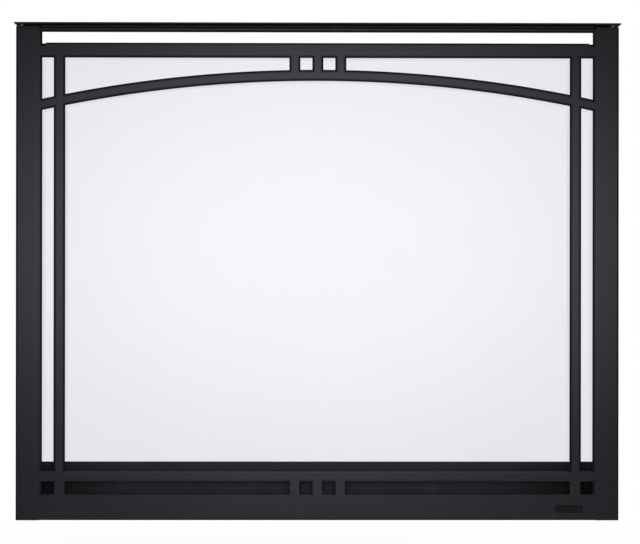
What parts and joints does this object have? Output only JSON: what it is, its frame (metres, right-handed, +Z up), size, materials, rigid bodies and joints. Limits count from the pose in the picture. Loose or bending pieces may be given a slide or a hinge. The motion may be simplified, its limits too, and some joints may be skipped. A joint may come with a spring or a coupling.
{
  "type": "fireplace glass door",
  "caption": "Black steel fireplace front: a wide glazed door with an arched bar pattern, hung on concealed pivots in a fixed frame under a projecting cap.",
  "frame": {"origin": "centre of the four fixing holes, on the back plane of the fixed frame", "axes": "+X to the right as the room sees the door, +Y into the wall, +Z up"},
  "size_m": [1.04, 0.075, 0.8551],
  "materials": {
    "powder_coat": "satin black powder coat",
    "inner_coat": "matte black high-temperature paint",
    "plate": "gloss black, blank",
    "glass": "clear ceramic glass",
    "gasket": "woven glass fibre",
    "zinc": "zinc-plated",
    "pin_steel": "turned",
    "bronze": "sintered bronze",
    "knob": "matte",
    "catch": "black",
    "magnet": "sintered"
  },
  "bodies": {
    "frame": {"jamb_left": "inner_coat", "jamb_right": "inner_coat", "head_rail": "inner_coat", "sill_rail": "inner_coat", "cap": "powder_coat", "lower_pivot_bracket": "zinc", "lower_pivot_pin": "pin_steel", "thrust_washer": "zinc", "upper_pivot_bracket": "zinc", "upper_bushing": "bronze", "catch_housings": "catch", "catch_magnets": "magnet", "catch_screws": "zinc"},
    "door": {"stile_left": "powder_coat", "stile_right": "powder_coat", "top_rail": "powder_coat", "upper_rail": "powder_coat", "arch_bar": "powder_coat", "vertical_bar_left": "powder_coat", "vertical_bar_right": "powder_coat", "centre_posts": "powder_coat", "lower_rail": "powder_coat", "lower_posts": "powder_coat", "bottom_rail": "powder_coat", "nameplate": "plate", "glass_frame_left": "inner_coat", "glass_frame_right": "inner_coat", "glass_frame_top": "inner_coat", "glass_frame_bottom": "inner_coat", "glass_pane": "glass", "glass_gasket": "gasket", "glass_retainer_left": "inner_coat", "glass_retainer_right": "inner_coat", "glass_retainer_top": "inner_coat", "glass_retainer_bottom": "inner_coat", "retainer_screws": "zinc", "lower_pivot_strap": "zinc", "strap_screws": "zinc", "lower_bushing": "bronze", "upper_pivot_guide": "zinc", "pivot_spring": "pin_steel", "strike_plates": "zinc"},
    "pin": {"upper_pivot_pin": "pin_steel", "pin_knob": "knob"}
  },
  "joints": [
    {"name": "door_swing", "type": "hinge", "parent": "frame", "child": "door", "pos_m": [-0.508, -0.021, 0], "axis": [0, 0, -1], "range_deg": [0, 95]},
    {"name": "pin_pull", "type": "slide", "parent": "door", "child": "pin", "axis": [0, 0, -1], "range_m": [0, 0.01], "stiffness_N_per_m": 500, "springref_m": -0.008, "deforming": ["pivot_spring"]}
  ]
}
